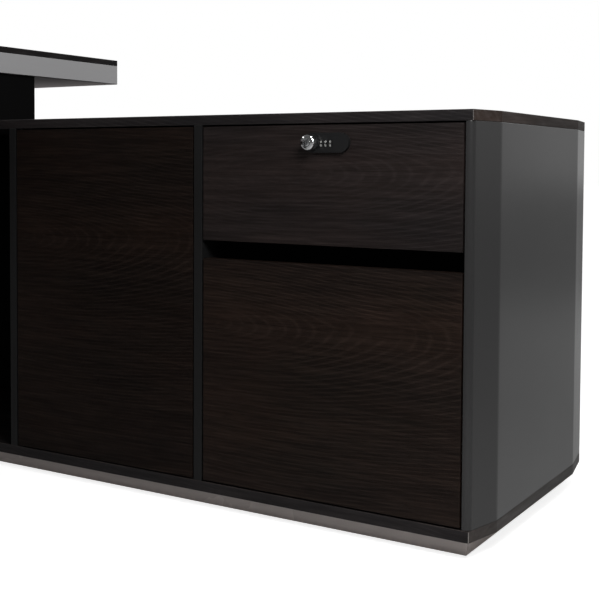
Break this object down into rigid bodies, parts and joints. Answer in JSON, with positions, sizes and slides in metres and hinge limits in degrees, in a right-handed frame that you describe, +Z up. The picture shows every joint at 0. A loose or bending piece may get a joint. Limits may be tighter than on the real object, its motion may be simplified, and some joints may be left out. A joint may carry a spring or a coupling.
{
  "type": "corner office desk",
  "caption": "L-shaped office desk: a slab desktop on a black riser over a side cabinet with drawers, a locking front, doors and an open niche, and on a panel leg.",
  "frame": {"origin": "on the floor, under the middle of the desk's bounding box", "axes": "+X along the cabinet to its right end as the user faces it, +Y from the panel leg to the cabinet's back, +Z up"},
  "size_m": [1.831, 1.8, 0.7475],
  "materials": {
    "dark_wood": "satin laminate with a very dark brown oak grain",
    "graphite_board": "matte graphite laminate",
    "grey_panel": "smooth satin grey foil",
    "plinth_board": "silver grey foil",
    "silver_slab": "smooth silver grey laminate",
    "black_board": "matte black laminate",
    "drawer_board": "matte grey melamine",
    "zinc_steel": "bright zinc plate",
    "black_steel": "black powder coat",
    "black_plastic": "fine satin black",
    "grey_plastic": "smooth grey",
    "dial_plastic": "black wheel with pale figures",
    "chrome": "polished"
  },
  "bodies": {
    "desk": {"credenza_top": "dark_wood", "credenza_base": "dark_wood", "end_panel_right": "grey_panel", "end_panel_left": "grey_panel", "divider_drawers": "graphite_board", "divider_door": "graphite_board", "divider_niche": "graphite_board", "back_panel": "graphite_board", "plinth_front": "plinth_board", "plinth_back": "plinth_board", "plinth_end_right": "plinth_board", "plinth_end_left": "plinth_board", "plinth_cross_rails": "plinth_board", "finger_rail": "black_board", "shelf_right": "graphite_board", "shelf_left": "graphite_board", "shelf_pins": "zinc_steel", "door_pivots": "black_steel", "latch_cases": "black_plastic", "slide_fixed_upper": "zinc_steel", "slide_fixed_lower": "zinc_steel", "lock_strike": "black_steel", "riser_front": "black_board", "riser_back": "black_board", "riser_side_right": "black_board", "riser_side_left": "black_board", "desk_core": "silver_slab", "desk_top": "dark_wood", "leg_panel": "grey_panel", "leg_plinth": "plinth_board", "modesty_panel": "dark_wood", "angle_brackets": "black_steel", "bracket_screws": "zinc_steel"},
    "upper_drawer": {"upper_front": "dark_wood", "upper_side_right": "drawer_board", "upper_side_left": "drawer_board", "upper_back": "drawer_board", "upper_bottom": "drawer_board", "slide_moving_upper": "zinc_steel", "lock_case": "black_plastic", "lock_axle": "zinc_steel"},
    "upper_runner": {"slide_middle_upper": "zinc_steel"},
    "lower_drawer": {"lower_front": "dark_wood", "lower_side_right": "drawer_board", "lower_side_left": "drawer_board", "lower_back": "drawer_board", "lower_bottom": "drawer_board", "slide_moving_lower": "zinc_steel", "file_rails": "black_plastic"},
    "lower_runner": {"slide_middle_lower": "zinc_steel"},
    "knob": {"lock_knob": "chrome", "lock_cam": "zinc_steel"},
    "dial_1": {"lock_dial_1": "dial_plastic"},
    "dial_2": {"lock_dial_2": "dial_plastic"},
    "dial_3": {"lock_dial_3": "dial_plastic"},
    "right_door": {"door_right": "dark_wood"},
    "left_door": {"door_left": "dark_wood"},
    "right_latch": {"latch_plunger_right": "grey_plastic"},
    "left_latch": {"latch_plunger_left": "grey_plastic"}
  },
  "joints": [
    {"name": "upper_drawer_slide", "type": "slide", "parent": "desk", "child": "upper_drawer", "axis": [0, -1, 0], "range_m": [0, 0.4]},
    {"name": "upper_runner_slide", "type": "slide", "parent": "desk", "child": "upper_runner", "axis": [0, -1, 0], "range_m": [0, 0.2]},
    {"name": "lower_drawer_slide", "type": "slide", "parent": "desk", "child": "lower_drawer", "axis": [0, -1, 0], "range_m": [0, 0.4]},
    {"name": "lower_runner_slide", "type": "slide", "parent": "desk", "child": "lower_runner", "axis": [0, -1, 0], "range_m": [0, 0.2]},
    {"name": "lock_turn", "type": "hinge", "parent": "upper_drawer", "child": "knob", "pos_m": [0.6615, 0.404, 0.5575], "axis": [0, 1, 0], "range_deg": [0, 90]},
    {"name": "dial_1_turn", "type": "hinge", "parent": "upper_drawer", "child": "dial_1", "pos_m": [0.6756, 0.421, 0.556], "axis": [1, 0, 0], "continuous": true},
    {"name": "dial_2_turn", "type": "hinge", "parent": "upper_drawer", "child": "dial_2", "pos_m": [0.683, 0.421, 0.556], "axis": [1, 0, 0], "continuous": true},
    {"name": "dial_3_turn", "type": "hinge", "parent": "upper_drawer", "child": "dial_3", "pos_m": [0.6904, 0.421, 0.556], "axis": [1, 0, 0], "continuous": true},
    {"name": "right_door_swing", "type": "hinge", "parent": "desk", "child": "right_door", "pos_m": [0.0855, 0.425, 0.3145], "axis": [0, 0, -1], "range_deg": [0, 110]},
    {"name": "left_door_swing", "type": "hinge", "parent": "desk", "child": "left_door", "pos_m": [-0.3405, 0.425, 0.3145], "axis": [0, 0, 1], "range_deg": [0, 110]},
    {"name": "right_latch_push", "type": "slide", "parent": "desk", "child": "right_latch", "axis": [0, 1, 0], "range_m": [0, 0.0025], "stiffness_N_per_m": 300},
    {"name": "left_latch_push", "type": "slide", "parent": "desk", "child": "left_latch", "axis": [0, 1, 0], "range_m": [0, 0.0025], "stiffness_N_per_m": 300}
  ],
  "couplings": [
    {"joint": "upper_runner_slide", "follows": "upper_drawer_slide", "ratio": 0.5},
    {"joint": "lower_runner_slide", "follows": "lower_drawer_slide", "ratio": 0.5}
  ]
}
